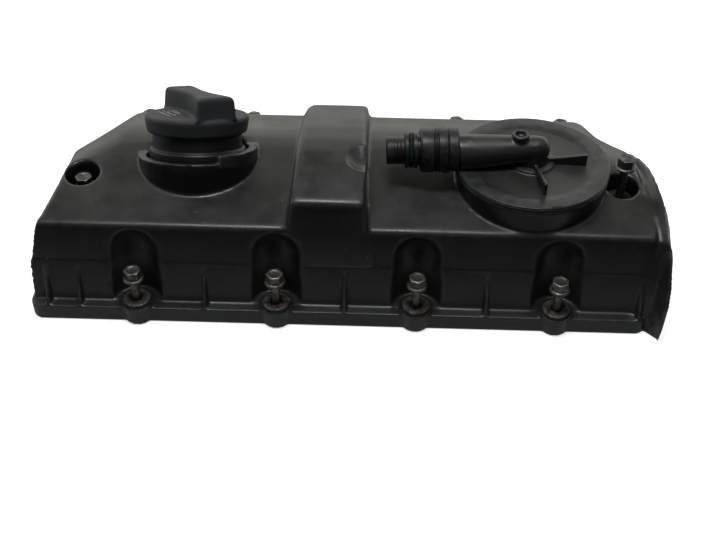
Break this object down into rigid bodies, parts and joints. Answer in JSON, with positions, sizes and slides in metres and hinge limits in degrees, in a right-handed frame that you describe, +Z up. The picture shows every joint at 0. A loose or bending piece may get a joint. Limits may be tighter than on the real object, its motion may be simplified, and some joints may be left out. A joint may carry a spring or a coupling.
{
  "type": "engine valve cover",
  "caption": "Black moulded valve cover for a four-cylinder head, with tilted oil filler and cap, breather valve drum with outlet pipe, and captive bolts raised in their pockets.",
  "frame": {"origin": "centre of the sealing face: z = 0 is the face that meets the cylinder head, y = 0 is midway between the front and rear bolt rows, x = 0 is midway between the second and third front bolts, which puts it within 2 mm of the bounding box's bottom centre", "axes": "+X along the crankshaft towards the timing end, +Z up out of the engine, -Y towards the front bolt row and the low side of the filler"},
  "size_m": [0.3982, 0.2004, 0.1249],
  "materials": {
    "cover_plastic": "satin black glass-filled nylon",
    "cap_plastic": "matte blue-black",
    "connector_plastic": "semi-gloss black",
    "black_rubber": "matte",
    "green_rubber": "matte dark green",
    "bolt_steel": "dull zinc with light rust",
    "washer_steel": "rust-stained",
    "spring_steel": "bright",
    "black_steel": "black phosphate"
  },
  "bodies": {
    "root": {"cover_shell": "cover_plastic", "perimeter_gasket": "green_rubber", "breather_lid": "cover_plastic", "diaphragm": "black_rubber", "regulator_spring": "spring_steel", "baffle_plate": "connector_plastic", "baffle_screw_1": "spring_steel", "baffle_screw_2": "spring_steel", "baffle_screw_3": "spring_steel", "baffle_screw_4": "spring_steel", "front_1_seat_sleeve": "washer_steel", "front_2_seat_sleeve": "washer_steel", "front_3_seat_sleeve": "washer_steel", "front_4_seat_sleeve": "washer_steel", "rear_1_seat_sleeve": "washer_steel", "rear_2_seat_sleeve": "washer_steel", "rear_3_seat_sleeve": "washer_steel", "rear_4_seat_sleeve": "washer_steel", "rear_5_seat_sleeve": "washer_steel", "left_end_seat_sleeve": "washer_steel", "right_end_seat_sleeve": "washer_steel", "front_1_grommet": "black_rubber", "front_2_grommet": "black_rubber", "front_3_grommet": "black_rubber", "front_4_grommet": "black_rubber", "rear_1_grommet": "black_rubber", "rear_2_grommet": "black_rubber", "rear_3_grommet": "black_rubber", "rear_4_grommet": "black_rubber", "rear_5_grommet": "black_rubber", "left_end_grommet": "black_rubber", "right_end_grommet": "black_rubber"},
    "neck": {"filler_neck": "connector_plastic", "neck_seal": "green_rubber"},
    "cap_carrier": {"cap_seal": "black_rubber"},
    "cap": {"filler_cap": "cap_plastic"},
    "valve": {"diaphragm_plate": "connector_plastic"},
    "connector": {"quick_connector": "connector_plastic", "connector_o_ring": "green_rubber"},
    "front_bolt_1": {"front_bolt_1": "bolt_steel"},
    "front_bolt_2": {"front_bolt_2": "bolt_steel"},
    "front_bolt_3": {"front_bolt_3": "bolt_steel"},
    "front_bolt_4": {"front_bolt_4": "bolt_steel"},
    "rear_bolt_1": {"rear_bolt_1": "bolt_steel"},
    "rear_bolt_2": {"rear_bolt_2": "bolt_steel"},
    "rear_bolt_3": {"rear_bolt_3": "bolt_steel"},
    "rear_bolt_4": {"rear_bolt_4": "bolt_steel"},
    "rear_bolt_5": {"rear_bolt_5": "bolt_steel"},
    "left_end_bolt": {"left_end_bolt": "bolt_steel"},
    "right_end_bolt": {"right_end_bolt": "black_steel"}
  },
  "joints": [
    {"name": "neck_twist", "type": "hinge", "parent": "root", "child": "neck", "pos_m": [-0.098, -0.0159, 0.0763], "axis": [0, 0.4115, 0.9114], "range_deg": [0, 60]},
    {"name": "cap_lift", "type": "slide", "parent": "neck", "child": "cap_carrier", "axis": [0, 0.4115, 0.9114], "range_m": [0, 0.05]},
    {"name": "cap_twist", "type": "hinge", "parent": "cap_carrier", "child": "cap", "pos_m": [-0.098, -0.0159, 0.0763], "axis": [0, 0.4115, 0.9114], "range_deg": [0, 90]},
    {"name": "diaphragm_stroke", "type": "slide", "parent": "root", "child": "valve", "axis": [0, 0, 1], "range_m": [0, 0.004], "stiffness_N_per_m": 250, "deforming": ["regulator_spring", "diaphragm"]},
    {"name": "connector_swivel", "type": "hinge", "parent": "root", "child": "connector", "pos_m": [0.12, -0.02735, 0.095], "axis": [-0.999, -0.0406, -0.0206], "continuous": true},
    {"name": "front_bolt_1_travel", "type": "slide", "parent": "root", "child": "front_bolt_1", "axis": [0, 0, 1], "range_m": [-0.0155, 0]},
    {"name": "front_bolt_2_travel", "type": "slide", "parent": "root", "child": "front_bolt_2", "axis": [0, 0, 1], "range_m": [-0.0155, 0]},
    {"name": "front_bolt_3_travel", "type": "slide", "parent": "root", "child": "front_bolt_3", "axis": [0, 0, 1], "range_m": [-0.0155, 0]},
    {"name": "front_bolt_4_travel", "type": "slide", "parent": "root", "child": "front_bolt_4", "axis": [0, 0, 1], "range_m": [-0.0155, 0]},
    {"name": "rear_bolt_1_travel", "type": "slide", "parent": "root", "child": "rear_bolt_1", "axis": [0, 0, 1], "range_m": [-0.0155, 0]},
    {"name": "rear_bolt_2_travel", "type": "slide", "parent": "root", "child": "rear_bolt_2", "axis": [0, 0, 1], "range_m": [-0.0155, 0]},
    {"name": "rear_bolt_3_travel", "type": "slide", "parent": "root", "child": "rear_bolt_3", "axis": [0, 0, 1], "range_m": [-0.0155, 0]},
    {"name": "rear_bolt_4_travel", "type": "slide", "parent": "root", "child": "rear_bolt_4", "axis": [0, 0, 1], "range_m": [-0.0155, 0]},
    {"name": "rear_bolt_5_travel", "type": "slide", "parent": "root", "child": "rear_bolt_5", "axis": [0, 0, 1], "range_m": [-0.0155, 0]},
    {"name": "left_end_bolt_travel", "type": "slide", "parent": "root", "child": "left_end_bolt", "axis": [0, 0, 1], "range_m": [-0.0125, 0.0245]},
    {"name": "right_end_bolt_travel", "type": "slide", "parent": "root", "child": "right_end_bolt", "axis": [0, 0, 1], "range_m": [-0.023, 0]}
  ]
}
